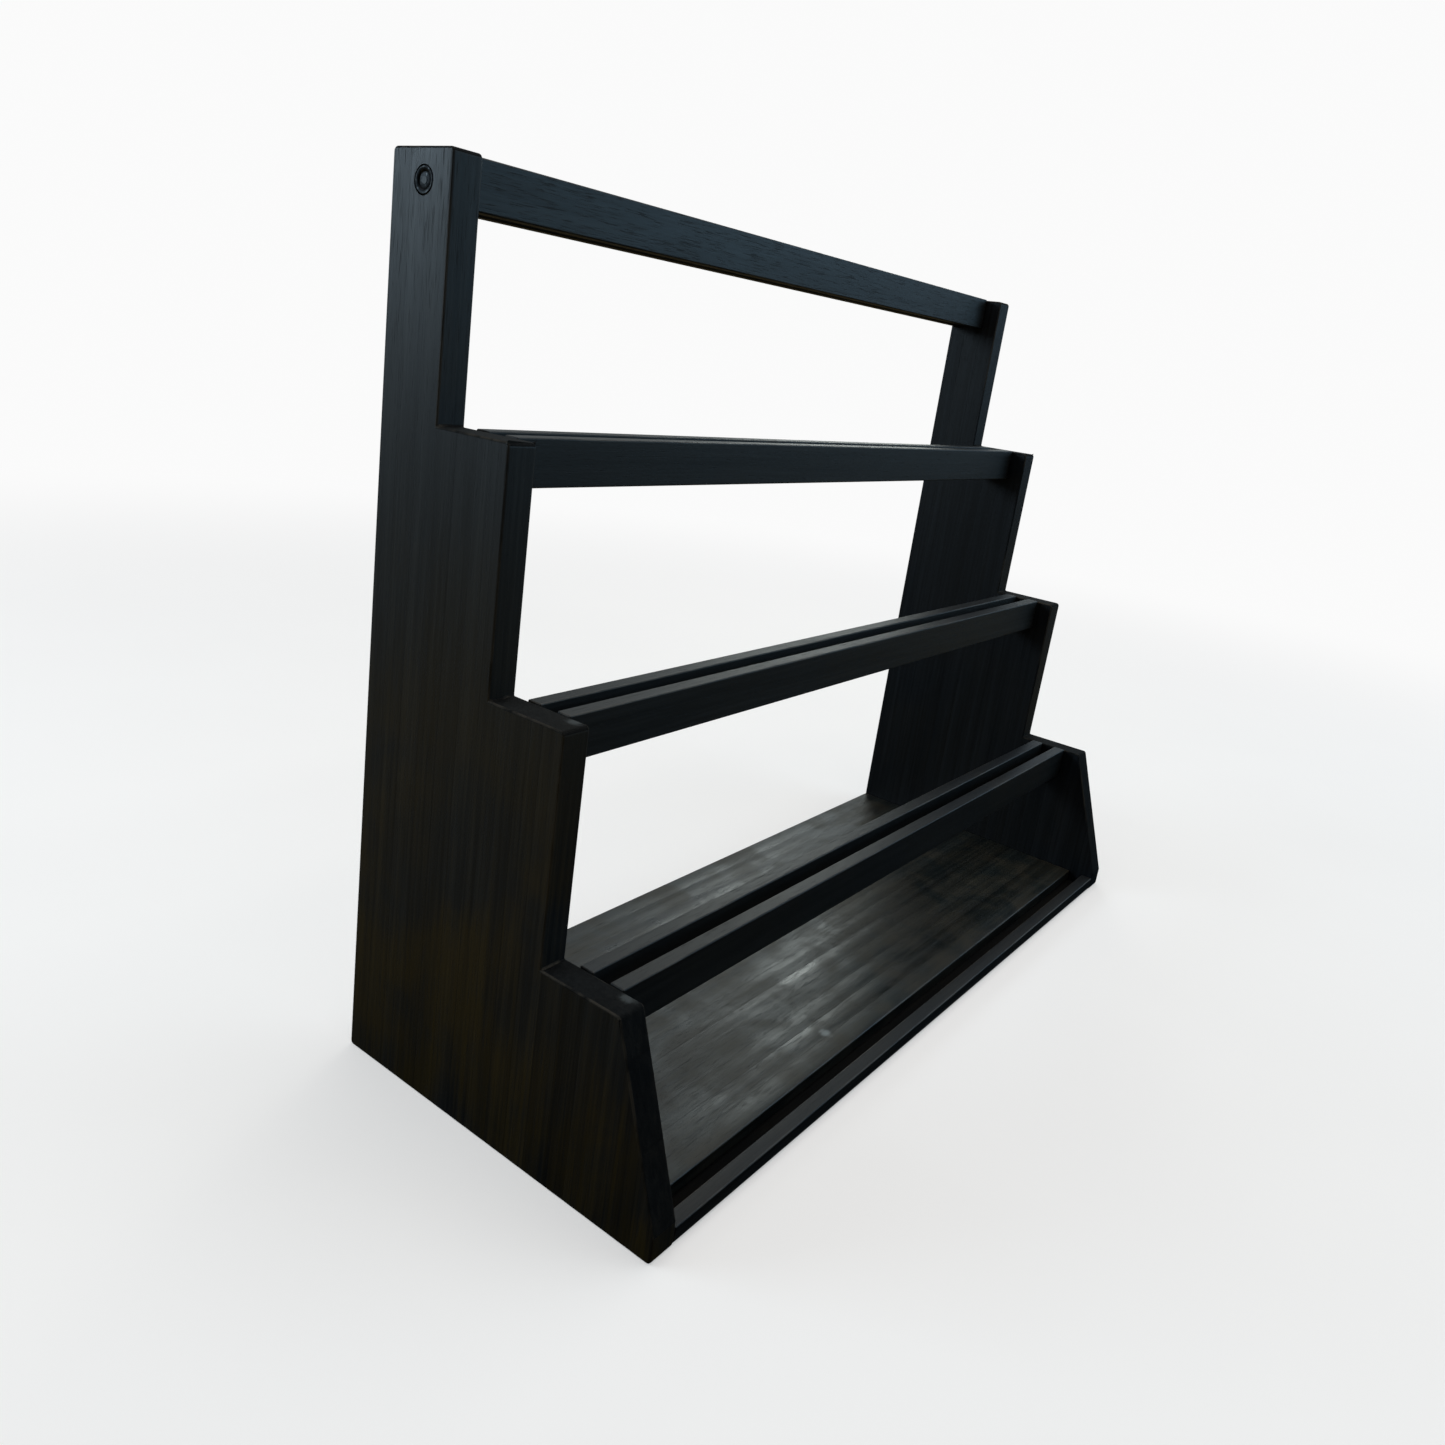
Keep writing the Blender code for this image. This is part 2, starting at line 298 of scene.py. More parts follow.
def crowned(start, end, staves, crown):
    """Points across a glued-up face: (place across, depth below the crowns)."""
    steps = staves * CROWN_STEPS
    points = []
    for index in range(steps + 1):
        phase = (index % CROWN_STEPS) / CROWN_STEPS
        points.append((start + (end - start) * index / steps, crown * (2 * phase - 1) ** 2))
    return points


def rounded(corner, before, after, radius):
    """Points of the arc that rounds one corner of an outline."""
    to_before = (before - corner).normalized()
    to_after = (after - corner).normalized()
    half = to_before.angle(to_after) / 2
    center = corner + (to_before + to_after).normalized() * radius / math.sin(half)
    start = corner + to_before * radius / math.tan(half) - center
    sweep = start.angle_signed(corner + to_after * radius / math.tan(half) - center)
    turns = [Matrix.Rotation(-sweep * step / CORNER_STEPS, 2) for step in range(CORNER_STEPS + 1)]
    return [center + turn @ start for turn in turns]


def panel_outline(panel_low, panel_high):
    """The side panel's outline as (Y, Z) points, from its CAD box and its rails' heights."""
    back, toe = panel_high.y, panel_low.y
    heights = [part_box(f"tier{tier}_front_rail")[1].z - RAIL_PROUD for tier in range(1, 5)]
    corners = [(back, panel_low.z, True), (back, panel_high.z, True)]
    for index, depth in enumerate(TREAD_DEPTHS):
        corners.append((back - depth, heights[index], True))
        if index + 1 < len(heights):
            corners.append((back - depth, heights[index + 1], False))
    corners.append((toe, panel_low.z + TOE_HEIGHT, False))
    corners.append((toe, panel_low.z, True))
    places = [Vector(corner[:2]) for corner in corners]
    outline = []
    for index, corner in enumerate(places):
        if corners[index][2]:
            after = places[(index + 1) % len(places)]
            outline.extend(rounded(corner, places[index - 1], after, CORNER_RADIUS))
        else:
            outline.append(corner)
    return outline


def rod(shape, low, high, grow):
    """Add a rod along X to a bmesh, round the box of a dowel or screw, grown by a gap."""
    middle = (low + high) / 2
    radius = (high.z - low.z) / 2 + grow
    lie_down = Matrix.Translation(middle) @ Matrix.Rotation(math.pi / 2, 4, "Y")
    length = high.x - low.x + 2 * grow
    bmesh.ops.create_cone(
        shape,
        cap_ends=True,
        segments=ROD_STEPS,
        radius1=radius,
        radius2=radius,
        depth=length,
        matrix=lie_down,
    )


def holes_for(node):
    """One cutter for all the dowels that go into a CAD node, empty if there are none."""
    low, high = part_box(node)
    shape = bmesh.new()
    for name in sorted(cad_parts):
        if not name.startswith("dowel_"):
            continue
        rod_low, rod_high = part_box(name)
        if all(rod_low[k] < high[k] and rod_high[k] > low[k] for k in range(3)):
            rod(shape, rod_low, rod_high, GAP)
    return shape


def screw_holes(shape, side):
    """Add the screw hole and the pocket of the cup washer on one side."""
    screw_low, screw_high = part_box(f"top_screw_{side}")
    cup_low, cup_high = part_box(f"top_screw_cup_{side}")
    middle = (cup_low + cup_high) / 2
    shank = Vector((0.0, SHANK_RADIUS, SHANK_RADIUS))
    shank_low = Vector((screw_low.x, middle.y, middle.z)) - shank
    shank_high = Vector((screw_high.x, middle.y, middle.z)) + shank
    rod(shape, shank_low, shank_high, GAP)
    outward = Vector((SIDES[side] * (cup_high.x - cup_low.x), 0.0, 0.0))
    pocket_low = cup_low + Vector((min(outward.x, 0.0), 0.0, 0.0))
    pocket_high = cup_high + Vector((max(outward.x, 0.0), 0.0, 0.0))
    rod(shape, pocket_low, pocket_high, GAP)


def add_boolean(piece, operation, mesh):
    """Cut or trim a piece with a mesh, and return the helper object."""
    helper = link(f"{piece.name}_helper", mesh)
    change = piece.modifiers.new("trim", "BOOLEAN")
    change.operation = operation
    change.solver = "EXACT"
    change.object = helper
    return helper


def settle(piece, helpers):
    """Apply a piece's modifiers, note where its worn edges are, and drop the helpers."""
    bpy.context.view_layer.update()
    evaluated = piece.evaluated_get(bpy.context.evaluated_depsgraph_get())
    mesh = bpy.data.meshes.new_from_object(evaluated)
    mesh.name = piece.name
    piece.modifiers.clear()
    piece.data = mesh
    arris = mesh.attributes.new("arris", "FLOAT", "CORNER")
    around = [0] * len(mesh.vertices)
    eased = [0] * len(mesh.vertices)
    for face in mesh.polygons:
        for vertex in face.vertices:
            around[vertex] += 1
            eased[vertex] += face.material_index
    for face in mesh.polygons:
        for loop in face.loop_indices:
            vertex = mesh.loops[loop].vertex_index
            share = eased[vertex] / around[vertex]
            arris.data[loop].value = share if face.material_index else 0.0
        face.material_index = 0
    while len(mesh.materials) > 1:
        mesh.materials.pop()
    for helper in helpers:
        bpy.data.objects.remove(helper)


def finish_wood(name, node, mesh, material, arris, trims):
    """Make a wooden piece: trim it, ease its edges, bore it, and let it stand for its CAD node."""
    piece = link(name, mesh)
    mesh.materials.append(material)
    mesh.materials.append(material)
    helpers = [add_boolean(piece, "INTERSECT", trim) for trim in trims]
    bevel = piece.modifiers.new("eased_edges", "BEVEL")
    bevel.width = arris
    bevel.segments = ARRIS_STEPS
    bevel.limit_method = "ANGLE"
    bevel.angle_limit = SHARP_ANGLE
    bevel.use_clamp_overlap = False
    bevel.material = 1
    holes = holes_for(node)
    for side in SIDES:
        if node in (f"side_panel_{side}", "tier1_front_rail"):
            screw_holes(holes, side)
    helpers.append(add_boolean(piece, "DIFFERENCE", mesh_from(holes, "holes")))
    for face in mesh.polygons:
        face.use_smooth = True
    weighted = piece.modifiers.new("flat_faces", "WEIGHTED_NORMAL")
    weighted.keep_sharp = True
    settle(piece, helpers)
    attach(piece, BODY)
    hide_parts(node)
    return piece


def build_panels(materials, end_material):
    """The two side panels, glued up from upright staves, with a darker stain on the end grain."""
    for side, material in materials.items():
        node = f"side_panel_{side}"
        low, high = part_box(node)
        reach = PANEL_STAVES * PANEL_STAVE / 2
        across = crowned(-reach, reach, PANEL_STAVES, PANEL_CROWN)
        plan = [(low.x + drop, place) for place, drop in across]
        plan += [(high.x - drop, place) for place, drop in reversed(across)]
        mesh = prism(node, plan, "Z", low.z - OVERRUN, high.z + OVERRUN)
        outline = panel_outline(low, high)
        trim = prism(f"{node}_outline", outline, "X", low.x - OVERRUN, high.x + OVERRUN)
        panel = finish_wood(f"stained_{node}", node, mesh, material, PANEL_ARRIS, [trim])
        panel.data.materials.append(end_material)
        for face in panel.data.polygons:
            if abs(face.normal.z) > END_FACING:
                face.material_index = 1


def bar(node):
    """A plain bar that fills a CAD node's box."""
    low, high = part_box(node)
    section = [(low.y, low.z), (high.y, low.z), (high.y, high.z), (low.y, high.z)]
    return prism(node, section, "X", low.x, high.x)


def build_rails(material):
    """Two rails on edge at each tier, and the rail at the front of the base."""
    nodes = [f"tier{tier}_{row}_rail" for tier in range(1, 5) for row in ("front", "back")]
    for node in [*nodes, "base_front_rail"]:
        finish_wood(f"stained_{node}", node, bar(node), material, RAIL_ARRIS, [])


def build_strip(material):
    """The thin strip that closes the groove at the front of the base, near-black: painted shade at the
    groove's foot.
    """
    node = "base_groove_strip"
    finish_wood(f"stained_{node}", node, bar(node), material, GAP, [])


def build_board(material):
    """The base board, glued up from staves that run along the rack."""
    low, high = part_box("base_board")
    across = crowned(low.y, high.y, BOARD_STAVES, BOARD_CROWN)
    section = [(place, high.z - drop) for place, drop in across] + [(high.y, low.z), (low.y, low.z)]
    mesh = prism("base_board", section, "X", low.x, high.x)
    finish_wood("stained_base_board", "base_board", mesh, material, RAIL_ARRIS, [])


def turned(name, profile, closed):
    """A mesh turned about Z from (radius, height) points, where a point on the axis is a pole."""
    shape = bmesh.new()
    rings = []
    for radius, height in profile:
        turns = [2 * math.pi * step / TURNED_STEPS for step in range(TURNED_STEPS if radius else 1)]
        places = [(radius * math.cos(turn), radius * math.sin(turn), height) for turn in turns]
        rings.append([shape.verts.new(place) for place in places])
    for ring, following in zip(rings, rings[1:] + (rings[:1] if closed else [])):
        for step in range(TURNED_STEPS):
            corners = [
                ring[step % len(ring)],
                following[step % len(following)],
                following[(step + 1) % len(following)],
                ring[(step + 1) % len(ring)],
            ]
            shape.faces.new(list(dict.fromkeys(corners)))
    return mesh_from(shape, name)


def cross_recess(top):
    """A tapered cross that cuts the driver recess into a screw head."""
    reach, width = RECESS_REACH, RECESS_WIDTH
    quarter = [Vector(point) for point in ((reach, -width), (reach, width), (width, width))]
    turns = [Matrix.Rotation(math.pi / 2 * turn, 2) for turn in range(4)]
    outline = [turn @ point for turn in turns for point in quarter]
    shape = bmesh.new()
    levels = ((top + RECESS_OVERCUT, RECESS_TOP_SCALE), (top - RECESS_DEPTH, RECESS_FOOT_SCALE))
    rings = []
    for height, scale in levels:
        rings.append([shape.verts.new((*(point * scale), height)) for point in outline])
    wall(shape, rings)
    return mesh_from(shape, "recess")


def screw_profile(top, length):
    """Half-section of the countersunk screw: a slightly raised head, and rings for its thread."""
    foot = top - HEAD_HEIGHT
    tip = top - length
    profile = [(0.0, top), (HEAD_RADIUS * HEAD_FLAT, top - HEAD_DOME), (HEAD_RADIUS, top - HEAD_LIP)]
    profile.append((SHANK_RADIUS, foot))
    height = foot - PLAIN_LENGTH
    profile.append((SHANK_RADIUS, height))
    root_radius = SHANK_RADIUS * THREAD_ROOT
    while height - THREAD_PITCH > tip + (TIP_RADII + 1) * SHANK_RADIUS:
        profile.append((root_radius, height - THREAD_PITCH * THREAD_ROOT_PLACE))
        profile.append((SHANK_RADIUS, height - THREAD_PITCH))
        height -= THREAD_PITCH
    profile.append((root_radius, tip + TIP_RADII * SHANK_RADIUS))
    profile.append((0.0, tip))
    return profile


def cup_profile(radius, height, head_top):
    """Half-section of the cup washer: rounded outer rim, sloped seat and bore."""
    profile = []
    for step in range(RIM_STEPS + 1):
        turn = math.pi / 2 * step / RIM_STEPS
        out, up = CUP_RIM * math.sin(turn), CUP_RIM * math.cos(turn)
        profile.append((radius - CUP_RIM + out, height - CUP_RIM + up))
    foot = head_top - HEAD_HEIGHT - GAP
    profile += [(radius, 0.0), (BORE_RADIUS, 0.0), (BORE_RADIUS, foot)]
    for gaps, rise in zip(SEAT_LIP_GAPS, (-SEAT_LIP_HEIGHT, SEAT_LIP_HEIGHT)):
        profile.append((HEAD_RADIUS + gaps * GAP, head_top + rise))
    return profile


def build_screws(material):
    """The screw and cup washer at each end of the top front rail."""
    for side, sign in SIDES.items():
        screw_low, screw_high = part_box(f"top_screw_{side}")
        cup_low, cup_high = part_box(f"top_screw_cup_{side}")
        cup_radius = (cup_high.z - cup_low.z) / 2
        cup_height = cup_high.x - cup_low.x
        seat_x = cup_low.x if sign > 0 else cup_high.x
        seat = Vector((seat_x, (cup_low.y + cup_high.y) / 2, (cup_low.z + cup_high.z) / 2))
        head_top = abs((screw_high.x if sign > 0 else screw_low.x) - seat_x)
        length = screw_high.x - screw_low.x
        meshes = {
            "top_screw": turned("top_screw", screw_profile(head_top, length), False),
            "top_screw_cup": turned("top_screw_cup", cup_profile(cup_radius, cup_height, head_top), True),
        }
        for name, mesh in meshes.items():
            mesh.materials.append(material)
            for face in mesh.polygons:
                face.use_smooth = True
            mesh.set_sharp_from_angle(angle=SHARP_ANGLE)
            piece = link(f"finished_{name}_{side}", mesh)
            if name == "top_screw":
                helper = add_boolean(piece, "DIFFERENCE", cross_recess(head_top))
                settle(piece, [helper])
            tilt = Euler((0.0, sign * math.pi / 2, 0.0)).to_matrix().to_4x4()
            spin = Matrix.Rotation(SCREW_TURN, 4, "Z")
            piece.data.transform(Matrix.Translation(seat) @ tilt @ spin)
            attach(piece, BODY)
            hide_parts(f"{name}_{side}")


# ---------------------------------------------------------------- materials


class Graph:
    """Short calls for building the nodes of one material or world."""

    def __init__(self, tree):
        self.tree = tree

    def feed(self, socket, value):
        """Link a socket, or set its constant."""
        if isinstance(value, bpy.types.NodeSocket):
            self.tree.links.new(value, socket)
        else:
            socket.default_value = value

    def add(self, kind, settings=None, inputs=None):
        """A new node with its settings and inputs."""
        node = self.tree.nodes.new(kind)
        for key, value in (settings or {}).items():
            setattr(node, key, value)
        for key, value in (inputs or {}).items():
            self.feed(node.inputs[key], value)
        return node

    def math(self, operation, first, second=0.0, third=0.0, clamp=False):
        """One step of arithmetic."""
        settings = {"operation": operation, "use_clamp": clamp}
        return self.add("ShaderNodeMath", settings, {0: first, 1: second, 2: third}).outputs[0]

    def combine(self, x, y, z):
        """A vector from three numbers."""
        return self.add("ShaderNodeCombineXYZ", None, {0: x, 1: y, 2: z}).outputs[0]

    def noise(self, vector, scale, detail=2.0, roughness=0.5, distortion=0.0):
        """Noise from 0 to 1."""
        inputs = {
            "Vector": vector,
            "Scale": scale,
            "Detail": detail,
            "Roughness": roughness,
            "Distortion": distortion,
        }
        return self.add("ShaderNodeTexNoise", None, inputs).outputs[0]

    def remap(self, value, low, high, to_low=0.0, to_high=1.0):
        """A smooth step from one range to another."""
        inputs = {0: value, 1: low, 2: high, 3: to_low, 4: to_high}
        return self.add("ShaderNodeMapRange", {"interpolation_type": "SMOOTHSTEP"}, inputs).outputs[0]

    def mix(self, factor, first, second, blend="MIX"):
        """Mix two colours."""
        settings = {"data_type": "RGBA", "blend_type": blend}
        node = self.add("ShaderNodeMix", settings)
        self.feed(node.inputs[0], factor)
        self.feed(node.inputs[6], first)
        self.feed(node.inputs[7], second)
        return node.outputs[2]


def rgba(color):
    """A colour with full opacity."""
    return (*color, 1.0)


def new_material(name):
    """A material, its graph and its shader."""
    material = bpy.data.materials.new(name)
    material.use_nodes = True
    return material, Graph(material.node_tree), material.node_tree.nodes["Principled BSDF"]


def wood_material(name, look):
    """Stained wood with fibre streaks, pores, staves, glue lines, stain patches, worn edges and marks.
    Towards the floor the brown patches grow, as a painted warm reflection of the floor.

    look["axes"] names the object's axis along the grain, then those across the staves and through them.
    """
    material, graph, shader = new_material(name)
    place = graph.add("ShaderNodeTexCoord").outputs["Object"]
    parts = graph.add("ShaderNodeSeparateXYZ", None, {0: place}).outputs
    along, across, deep = (parts["XYZ".index(axis)] for axis in look["axes"])

    from_edge = graph.math("DIVIDE", graph.math("SUBTRACT", across, look["origin"]), look["stave"])
    stave = graph.math("FLOOR", from_edge)
    one = {"noise_dimensions": "1D"}
    stave_noise = graph.add("ShaderNodeTexWhiteNoise", one, {"W": stave}).outputs[0]
    in_stave = graph.math("FRACT", from_edge)
    to_joint = graph.math("MINIMUM", in_stave, graph.math("SUBTRACT", 1.0, in_stave))
    joint = graph.remap(to_joint, 0.0, look["joint_width"] / look["stave"], 1.0, 0.0)
    joint = graph.math("MULTIPLY", joint, look["joint_depth"])

    run = graph.math("MULTIPLY_ADD", stave_noise, STAVE_SHIFT, along)
    fibres = graph.combine(across, deep, graph.math("MULTIPLY", run, 1 / look["stretch"]))
    fine = graph.noise(fibres, *FIBRES)
    streaks = graph.noise(fibres, *STREAKS)
    bands = graph.noise(fibres, *BANDS)
    pore_run = graph.combine(across, deep, graph.math("MULTIPLY", run, 1 / PORE_STRETCH))
    pores = graph.remap(graph.noise(pore_run, *PORES), *PORE_CUT)
    patches = graph.noise(place, look["patch_scale"], *PATCHES)
    patch_run = graph.combine(across, deep, graph.math("MULTIPLY", along, SMALL_PATCH_RUN))
    small_patches = graph.noise(patch_run, *SMALL_PATCHES)

    # The brown patches are partly stain, shown everywhere by warm_all, and partly painted warm reflection
    # of the floor, strongest at the bottom
    painted_floor_bounce = graph.remap(parts[2], *look["floor_bounce_heights"], 1.0, 0.0)
    warm = graph.math("MULTIPLY", streaks, WARM_SHARES[1])
    warm = graph.remap(graph.math("MULTIPLY_ADD", patches, WARM_SHARES[0], warm), *WARM_CUT)
    warm_share = graph.math("MULTIPLY_ADD", painted_floor_bounce, look["warm"], look["warm_all"])
    warm = graph.math("MULTIPLY", warm, warm_share)
    cool = graph.mix(graph.remap(streaks, *STREAK_CUT), rgba(look["dark"]), rgba(look["light"]))
    color = graph.mix(warm, cool, rgba(look["brown"]))
    tone = graph.math("MULTIPLY_ADD", stave_noise, look["stave_tone"], 1.0 - look["stave_tone"] / 2)
    tone = graph.math("MULTIPLY", tone, graph.remap(bands, *BAND_CUT, *BAND_TONE))
    tone = graph.math("MULTIPLY", tone, graph.remap(fine, *FIBRE_CUT, *FIBRE_TONE))
    tone = graph.math("MULTIPLY", tone, graph.math("MULTIPLY_ADD", pores, PORE_SHADE, 1.0))
    tone = graph.math("MULTIPLY", tone, graph.math("MULTIPLY_ADD", joint, JOINT_SHADE, 1.0))
    color = graph.mix(1.0, color, graph.combine(tone, tone, tone), "MULTIPLY")

    normal = graph.add("ShaderNodeNewGeometry").outputs["Normal"]
    turned_to = graph.add("ShaderNodeSeparateXYZ", None, {0: normal}).outputs
    facing = turned_to["XYZ".index(look["axes"][0])]
    end_grain = graph.remap(graph.math("ABSOLUTE", facing), *END_GRAIN_CUT)
    shade = graph.math("MULTIPLY_ADD", end_grain, END_GRAIN_SHADE, 1.0)
    color = graph.mix(1.0, color, graph.combine(shade, shade, shade), "MULTIPLY")

    arris = graph.add("ShaderNodeAttribute", {"attribute_name": "arris"}).outputs["Fac"]
    rubbed = graph.math("MULTIPLY", arris, graph.remap(small_patches, *RUBBED_CUT))
    rubbed = graph.math("MULTIPLY", rubbed, look["wear"])
    color = graph.mix(rubbed, color, rgba(look["worn"]))
    for mark, size, mark_color in look["marks"]:
        apart = {"operation": "DISTANCE"}
        to_mark = graph.add("ShaderNodeVectorMath", apart, {0: place, 1: mark}).outputs["Value"]
        ragged = graph.math("MULTIPLY_ADD", streaks, size, to_mark)
        marked = graph.remap(ragged, size * MARK_EDGE[0], size * MARK_EDGE[1], 1.0, 0.0)
        color = graph.mix(marked, color, rgba(mark_color))
    graph.feed(shader.inputs["Base Color"], color)

    gloss = graph.math("MULTIPLY_ADD", fine, FIBRE_GLOSS, look["roughness"] - FIBRE_GLOSS / 2)
    gloss = graph.math("MULTIPLY_ADD", small_patches, look["patchy"], gloss)
    gloss = graph.math("MULTIPLY_ADD", graph.remap(patches, *PATCH_CUT), look["cloudy"], gloss)
    gloss = graph.math("MULTIPLY_ADD", graph.remap(bands, *BAND_GLOSS_CUT), look["streaky"], gloss)
    gloss = graph.math("MULTIPLY_ADD", stave_noise, look["stave_gloss"], gloss)
    gloss = graph.math("MULTIPLY_ADD", pores, PORE_GLOSS, gloss)
    gloss = graph.math("MULTIPLY_ADD", end_grain, END_GRAIN_GLOSS, gloss)
    gloss = graph.math("MULTIPLY_ADD", rubbed, RUBBED_GLOSS, gloss, clamp=True)
    graph.feed(shader.inputs["Roughness"], gloss)
    shader.inputs["Specular IOR Level"].default_value = look["specular"]
    shader.inputs["Coat Weight"].default_value = look["coat"]
    shader.inputs["Coat Roughness"].default_value = look["coat_roughness"]

    height = graph.math("MULTIPLY", fine, FIBRE_HEIGHT)
    height = graph.math("MULTIPLY_ADD", streaks, STREAK_HEIGHT, height)
    height = graph.math("MULTIPLY_ADD", bands, BAND_HEIGHT, height)
    height = graph.math("MULTIPLY_ADD", pores, PORE_HEIGHT, height)
    height = graph.math("MULTIPLY_ADD", joint, JOINT_HEIGHT, height)
    inputs = {"Strength": look["bump"], "Distance": BUMP_DISTANCE, "Height": height}
    bump = graph.add("ShaderNodeBump", None, inputs).outputs[0]
    graph.feed(shader.inputs["Normal"], bump)
    return material


def stained(name, **changes):
    """A stained wood that differs from the panels' in a few values."""
    return wood_material(name, {**EBONY, **changes})


def steel_material():
    """Blackened steel with rubbed patches and a fine grit."""
    material, graph, shader = new_material("blackened_steel")
    place = graph.add("ShaderNodeTexCoord").outputs["Object"]
    grit = graph.noise(place, *STEEL_GRIT)
    rubbed = graph.remap(graph.noise(place, *STEEL_PATCHES), *STEEL_RUBBED_CUT)
    color = graph.mix(rubbed, rgba(STEEL_DARK), rgba(STEEL_RUBBED))
    graph.feed(shader.inputs["Base Color"], color)
    gloss = graph.math("MULTIPLY_ADD", grit, STEEL_GRIT_GLOSS, STEEL_ROUGHNESS)
    gloss = graph.math("MULTIPLY_ADD", rubbed, STEEL_RUBBED_GLOSS, gloss)
    graph.feed(shader.inputs["Roughness"], gloss)
    shader.inputs["Metallic"].default_value = 1.0
    bump = graph.add("ShaderNodeBump", None, {**STEEL_BUMP, "Height": grit}).outputs[0]
    graph.feed(shader.inputs["Normal"], bump)
    return material


def floor_material():
    """A plain pale floor that runs into the background, and lights the rack no more than a dark one."""
    material, graph, shader = new_material("pale_floor")
    place = graph.add("ShaderNodeTexCoord").outputs["Object"]
    seen = graph.add("ShaderNodeLightPath").outputs["Is Camera Ray"]
    shade = graph.remap(graph.noise(place, *FLOOR_NOISE), *FLOOR_NOISE_CUT, *FLOOR_TONE)
    pale = graph.mix(1.0, rgba(FLOOR_SEEN), graph.combine(shade, shade, shade), "MULTIPLY")
    away = graph.add("ShaderNodeVectorMath", {"operation": "LENGTH"}, {0: place}).outputs["Value"]
    reach = graph.add("ShaderNodeSeparateXYZ", None, {0: place}).outputs[0]
    shaded = graph.remap(away, *DARK_WITHIN, 1.0, 0.0)
    shaded = graph.math("MULTIPLY", shaded, graph.remap(reach, *DARK_RIGHT_OF))
    bounce = graph.mix(shaded, rgba(WARM_BOUNCE), rgba(DARK_BOUNCE))
    graph.feed(shader.inputs["Base Color"], graph.mix(seen, bounce, pale))
    shader.inputs["Roughness"].default_value = FLOOR_ROUGHNESS
    shader.inputs["Specular IOR Level"].default_value = 0.0
    fade = graph.math("MULTIPLY", seen, graph.remap(away, *FLOOR_FADE, FLOOR_GLOW, 1.0))
    glow = graph.add("ShaderNodeEmission", None, {"Color": rgba(BACKGROUND)})
    both = graph.add("ShaderNodeMixShader", None, {0: fade})
    graph.feed(both.inputs[1], shader.outputs[0])
    graph.feed(both.inputs[2], glow.outputs[0])
    graph.feed(material.node_tree.nodes["Material Output"].inputs["Surface"], both.outputs[0])
    return material


# ---------------------------------------------------------------- stage


def build_floor():
    """A wide round floor."""
    shape = bmesh.new()
    bmesh.ops.create_circle(shape, cap_ends=True, segments=FLOOR_SIDES, radius=FLOOR_RADIUS)
    floor = link("floor", mesh_from(shape, "floor"))
    floor.data.materials.append(floor_material())


def area_light(name, place, aim, size, power, color):
    """A soft rectangular light aimed at a point."""
    light = bpy.data.lights.new(name, "AREA")
    light.shape = "RECTANGLE"
    light.size, light.size_y = size
    light.energy = power
    light.color = color
    lamp = bpy.data.objects.new(name, light)
    lamp.location = place
    lamp.rotation_mode = "QUATERNION"
    lamp.rotation_quaternion = (Vector(aim) - Vector(place)).to_track_quat("-Z", "Y")
    lamp.visible_camera = False
    bpy.context.scene.collection.objects.link(lamp)


def build_world():
    """A soft surround: plain and pale for the camera, and for the wood brighter at the back right."""
    world = bpy.data.worlds.new("studio")
    world.use_nodes = True
    bpy.context.scene.world = world
    graph = Graph(world.node_tree)
    shown = world.node_tree.nodes["Background"]
    shown.inputs["Color"].default_value = rgba(BACKGROUND)
    place = graph.add("ShaderNodeTexCoord").outputs["Generated"]
    height = graph.add("ShaderNodeSeparateXYZ", None, {0: place}).outputs[2]
    dot = {"operation": "DOT_PRODUCT"}
    side = graph.add("ShaderNodeVectorMath", dot, {0: place, 1: BRIGHT_SIDE}).outputs["Value"]
    around = graph.mix(graph.remap(side, *COOL_TO_PLAIN), rgba(COOL_SKY), rgba(PLAIN_SKY))
    color = graph.mix(graph.remap(height, *SKY_TO_ZENITH), around, rgba(ZENITH))
    strength = graph.remap(side, *DIM_TO_BRIGHT, DIM_STRENGTH, 1.0)
    lit = graph.add("ShaderNodeBackground", None, {"Color": color, "Strength": strength})
    seen = graph.add("ShaderNodeLightPath").outputs["Is Camera Ray"]
    both = graph.add("ShaderNodeMixShader", None, {0: seen})
    graph.feed(both.inputs[1], lit.outputs[0])
    graph.feed(both.inputs[2], shown.outputs[0])
    graph.feed(world.node_tree.nodes["World Output"].inputs["Surface"], both.outputs[0])


def build_lights():
    """Soft studio light: an even top light, and three cool windows for the sheen."""
    for name, light in LIGHTS.items():
        area_light(name, *light)


def build_camera():
    """A camera at the photograph's viewing point."""
    data = bpy.data.cameras.new("camera")
    data.sensor_width = CAMERA_SENSOR
    data.lens = CAMERA_LENS
    data.shift_x, data.shift_y = CAMERA_SHIFT
    data.clip_start, data.clip_end = CAMERA_CLIP
    camera = bpy.data.objects.new("camera", data)
    camera.location = CAMERA_PLACE
    toward = Vector(CAMERA_AIM) - Vector(CAMERA_PLACE)
    camera.rotation_mode = "QUATERNION"
    roll = Quaternion((0.0, 0.0, 1.0), CAMERA_ROLL)
    camera.rotation_quaternion = toward.to_track_quat("-Z", "Y") @ roll
    bpy.context.scene.collection.objects.link(camera)
    bpy.context.scene.camera = camera
    bpy.context.scene.view_settings.view_transform = "Standard"


def paint_dowels():
    """The hidden dowels stay CAD nodes, in beech."""
    beech = stained(
        "beech_dowels",
        axes="XYZ",
        dark=(0.42, 0.26, 0.13),
        light=(0.60, 0.41, 0.23),
        brown=(0.45, 0.27, 0.12),
        worn=(0.60, 0.41, 0.23),
        joint_depth=0.0,
        stave_tone=0.1,
        roughness=0.6,
        warm=0.2,
        specular=0.4,
    )
    for name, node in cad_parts.items():
        if name.startswith("dowel_"):
            node.material_slots[0].material = beech


